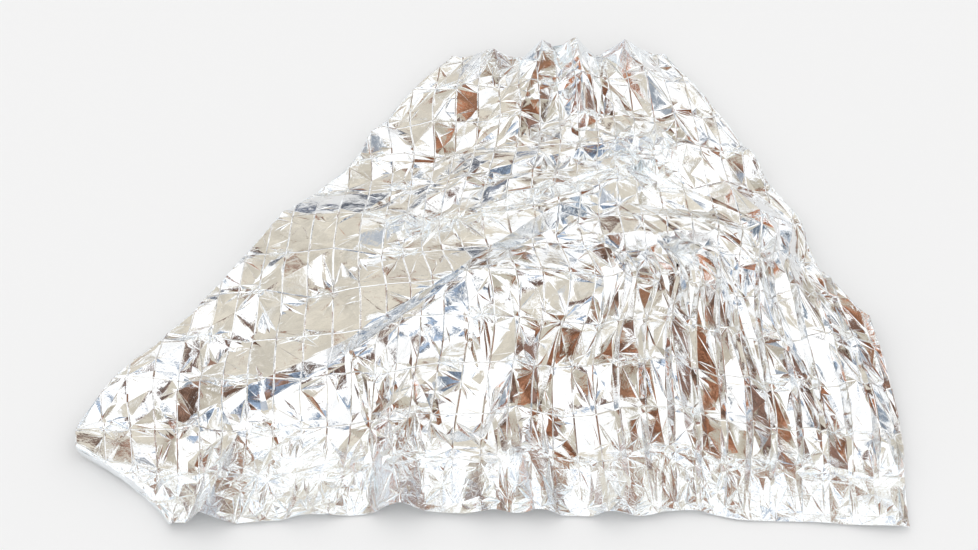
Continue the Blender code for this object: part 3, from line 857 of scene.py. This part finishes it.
class Nodes:
    """Adds nodes to a material or world and wires them."""

    def __init__(self, tree):
        self.tree = tree

    def add(self, kind, inputs=(), **settings):
        node = self.tree.nodes.new(kind)
        for name, value in settings.items():
            setattr(node, name, value)
        for name, value in dict(inputs).items():
            if isinstance(value, bpy.types.NodeSocket):
                self.tree.links.new(value, node.inputs[name])
            else:
                node.inputs[name].default_value = value
        return node

    def math(self, operation, a, b=0.0, clamp=False):
        return self.add("ShaderNodeMath", {0: a, 1: b}, operation=operation, use_clamp=clamp).outputs[0]

    def ramp(self, value, low, high, start=0.0, end=1.0):
        """Start where the value is low, end where it is high, and even between."""
        inputs = {"Value": value, "From Min": low, "From Max": high, "To Min": start, "To Max": end}
        return self.add("ShaderNodeMapRange", inputs, clamp=True).outputs["Result"]

    def times(self, vector, factor):
        inputs = {0: vector, 1: factor}
        return self.add("ShaderNodeVectorMath", inputs, operation="MULTIPLY").outputs["Vector"]

    def noise(self, place, pattern, output="Fac"):
        inputs = {"Vector": place, "Scale": pattern.scale, "Detail": pattern.detail}
        return self.add("ShaderNodeTexNoise", inputs).outputs[output]

    def mix(self, share, below, above):
        """The colour below where the share is 0, and the one above it where it is 1."""
        return self.add("ShaderNodeMix", {0: share, 6: below, 7: above}, data_type="RGBA").outputs[2]


def worn_creases(nodes, u, v, grain):
    """1 along the packing creases, where the metal has cracked, and 0 on the panels between them."""
    lines = []
    for place, size, panel in ((u, LENGTH, PANEL_S), (v, WIDTH, PANEL_T)):
        lines.append(nodes.math("PINGPONG", nodes.math("MULTIPLY", place, size), panel / 2))
    away = nodes.math("MINIMUM", *lines)
    away = nodes.math("ADD", away, nodes.ramp(grain, *GRAIN_RANGE, *GRAIN_SHIFT))
    return nodes.ramp(away, WORN_CORE, WORN_EDGE, 1.0, 0.0)


def wrinkles(nodes, flat, crush):
    """The height in metres of wrinkles too small for the mesh."""
    bend = nodes.noise(flat, BEND, "Color")
    bent = nodes.add("ShaderNodeMix", {0: BEND_SHARE, 4: flat, 5: bend}, data_type="VECTOR").outputs[1]
    total = 0.0
    for scale, height, least in WRINKLES:
        inputs = {"Vector": bent, "Scale": scale}
        cells = nodes.add("ShaderNodeTexVoronoi", inputs, feature="DISTANCE_TO_EDGE")
        ridge = nodes.ramp(cells.outputs["Distance"], 0.0, WRINKLE_WIDTH, 1.0, 0.0)
        strength = nodes.ramp(crush, *WRINKLED_RANGE, least * height, height)
        total = nodes.math("ADD", nodes.math("MULTIPLY", ridge, strength), total)
    soft = nodes.noise(flat, SOFT)
    return nodes.math("ADD", total, nodes.ramp(soft, 0.0, 1.0, 0.0, SOFT_HEIGHT))


def foil():
    """The film's material, drawn on the flat sheet. Its crush comes from the mesh."""
    material = bpy.data.materials.new("foil_film")
    material.use_nodes = True
    nodes = Nodes(material.node_tree)
    shader = material.node_tree.nodes["Principled BSDF"]
    under = nodes.add("ShaderNodeNewGeometry").outputs["Backfacing"]
    metal = nodes.ramp(under, 0.0, 1.0, 1.0, UNDERSIDE_METAL)
    bright = frame["record"]["materials"][0]["base_color"]
    place = nodes.add("ShaderNodeUVMap", uv_map="OFBake").outputs["UV"]
    flat = nodes.times(place, (LENGTH, WIDTH, 1))
    u, v = nodes.add("ShaderNodeSeparateXYZ", {0: place}).outputs[:2]
    crush = nodes.add("ShaderNodeAttribute", attribute_name="crush").outputs["Fac"]
    smudge = nodes.noise(flat, SMUDGES)
    haze_and_painted_reflection = nodes.ramp(crush, *CRUSHED_RANGE)
    worn = worn_creases(nodes, u, v, nodes.noise(flat, GRAIN))
    worn = nodes.math("MULTIPLY", worn, nodes.ramp(nodes.noise(flat, WEAR), *WEAR_RANGE, WEAR_LEAST, 1.0))
    worn = nodes.math("MULTIPLY", worn, nodes.ramp(crush, *CRUSHED_RANGE, 1.0, WEAR_CRUSHED))
    colour = nodes.mix(nodes.ramp(smudge, *SMUDGED_RANGE), (*bright, 1), SMUDGED_COLOUR)
    # Painted reflection: where the film is crushed its colour turns paler and cooler; the same share adds
    # haze to the roughness below.
    colour = nodes.mix(haze_and_painted_reflection, colour, CRUSHED_PAINTED_REFLECTION)
    colour = nodes.mix(worn, colour, WORN_COLOUR)
    rough = nodes.ramp(smudge, *ROUGH_RANGE, *ROUGHNESS)
    rough = nodes.math("ADD", rough, nodes.ramp(worn, 0.0, 1.0, 0.0, WORN_ROUGHNESS))
    rough = nodes.math("ADD", rough, nodes.math("MULTIPLY", haze_and_painted_reflection, CRUSHED_HAZE))
    bump = nodes.add("ShaderNodeBump", {"Height": wrinkles(nodes, flat, crush), "Distance": 1.0})
    looks = {"Base Color": colour, "Roughness": rough, "Metallic": metal, "Normal": bump.outputs["Normal"]}
    for name, value in looks.items():
        material.node_tree.links.new(value, shader.inputs[name])
    return material


def add_blanket():
    """The film as a mesh, with its place on the flat sheet and how crushed it is for the material."""
    points, faces, places = film()
    mesh = bpy.data.meshes.new("foil_sheet")
    mesh.from_pydata(places.tolist(), [], faces)
    mesh.update()
    layer = mesh.uv_layers.new(name="OFBake")
    corners = np.zeros(len(mesh.loops), dtype=np.int32)
    mesh.loops.foreach_get("vertex_index", corners)
    flat = points[corners] / (LENGTH, WIDTH) + 0.5
    layer.uv.foreach_set("vector", flat.astype(np.float32).ravel())
    crush_share = np.maximum(crumple(points), crushed(points)).astype(np.float32)
    mesh.attributes.new("crush", "FLOAT", "POINT").data.foreach_set("value", crush_share)
    mesh.shade_smooth()
    mesh.set_sharp_from_angle(angle=SHARP_ANGLE)
    mesh.materials.append(foil())
    blanket = bpy.data.objects.new("foil_sheet", mesh)
    bpy.context.scene.collection.objects.link(blanket)
    return blanket


def card_share(nodes, direction, card):
    """How far a direction in the sky lies within a card, from 0 to 1."""
    azimuth, elevation = math.radians(card.azimuth), math.radians(card.elevation)
    forward = Vector((math.sin(azimuth), math.cos(azimuth), 0)) * math.cos(elevation)
    forward.z = math.sin(elevation)
    across = Vector((math.cos(azimuth), -math.sin(azimuth), 0))

    def along(axis):
        inputs = {0: direction, 1: tuple(axis)}
        return nodes.add("ShaderNodeVectorMath", inputs, operation="DOT_PRODUCT").outputs["Value"]

    ahead = along(forward)
    shares = [nodes.math("GREATER_THAN", ahead, CARD_AHEAD)]
    for axis, half in ((across, card.width), (across.cross(forward), card.height)):
        away = nodes.math("ABSOLUTE", nodes.math("DIVIDE", along(axis), ahead))
        shares.append(nodes.math("DIVIDE", nodes.math("SUBTRACT", half, away), card.border, clamp=True))
    return nodes.math("MULTIPLY", nodes.math("MULTIPLY", shares[0], shares[1]), shares[2])


def add_light():
    """A studio of cards for reflections, an even soft light for the floor, and a plain backdrop."""
    world = bpy.data.worlds.new("studio")
    world.use_nodes = True
    world.node_tree.nodes.clear()
    nodes = Nodes(world.node_tree)
    direction = nodes.add("ShaderNodeTexCoord").outputs["Generated"]
    colour = SKY
    mottle = nodes.ramp(nodes.noise(direction, MOTTLE), *MOTTLE_RANGE)
    for card in CARDS:
        tint = (*card.colour, 1)
        if max(card.colour) < DARK_CARD:
            deep, pale = ((*(part * depth for part in card.colour), 1) for depth in MOTTLE_DEPTH)
            tint = nodes.mix(mottle, deep, pale)
        colour = nodes.mix(card_share(nodes, direction, card), colour, tint)
    streaks = nodes.noise(nodes.times(direction, STREAK_STRETCH), STREAKS)
    streaks = nodes.ramp(streaks, *STREAK_RANGE, *STREAK_DEPTH)
    studio = nodes.add("ShaderNodeBackground", {"Color": colour, "Strength": streaks}).outputs[0]
    soft = nodes.add("ShaderNodeBackground", {"Color": SOFT_LIGHT}).outputs[0]
    plain = nodes.add("ShaderNodeBackground", {"Color": BACKDROP}).outputs[0]
    path = nodes.add("ShaderNodeLightPath").outputs
    light = nodes.add("ShaderNodeMixShader", {0: path["Is Glossy Ray"], 1: soft, 2: studio}).outputs[0]
    both = nodes.add("ShaderNodeMixShader", {0: path["Is Camera Ray"], 1: light, 2: plain}).outputs[0]
    nodes.add("ShaderNodeOutputWorld", {"Surface": both})
    bpy.context.scene.world = world


def add_floor():
    signs = ((-1, -1), (1, -1), (1, 1), (-1, 1))
    corners = [(x * FLOOR_HALF, y * FLOOR_HALF, -FLOOR_DROP) for x, y in signs]
    mesh = bpy.data.meshes.new("floor")
    mesh.from_pydata(corners, [], [(0, 1, 2, 3)])
    material = bpy.data.materials.new("floor_paint")
    material.use_nodes = True
    shader = material.node_tree.nodes["Principled BSDF"]
    shader.inputs["Base Color"].default_value = FLOOR_COLOUR
    shader.inputs["Roughness"].default_value = FLOOR_ROUGHNESS
    mesh.materials.append(material)
    floor = bpy.data.objects.new("floor", mesh)
    bpy.context.scene.collection.objects.link(floor)
    return floor


def add_camera():
    camera = bpy.data.objects.new("camera", bpy.data.cameras.new("camera"))
    camera.data.lens = LENS
    back = Vector((0, -math.cos(VIEW_RISE), math.sin(VIEW_RISE)))
    camera.location = VIEW_TARGET + back * VIEW_DISTANCE
    camera.rotation_euler = (-back).to_track_quat("-Z", "Y").to_euler()
    bpy.context.scene.collection.objects.link(camera)
    bpy.context.scene.camera = camera


def main():
    add_camera()
    add_light()
    floor = add_floor()
    blanket = add_blanket()
    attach(blanket, "root")
    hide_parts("blanket")
    bpy.context.scene.view_settings.view_transform = "Standard"


main()
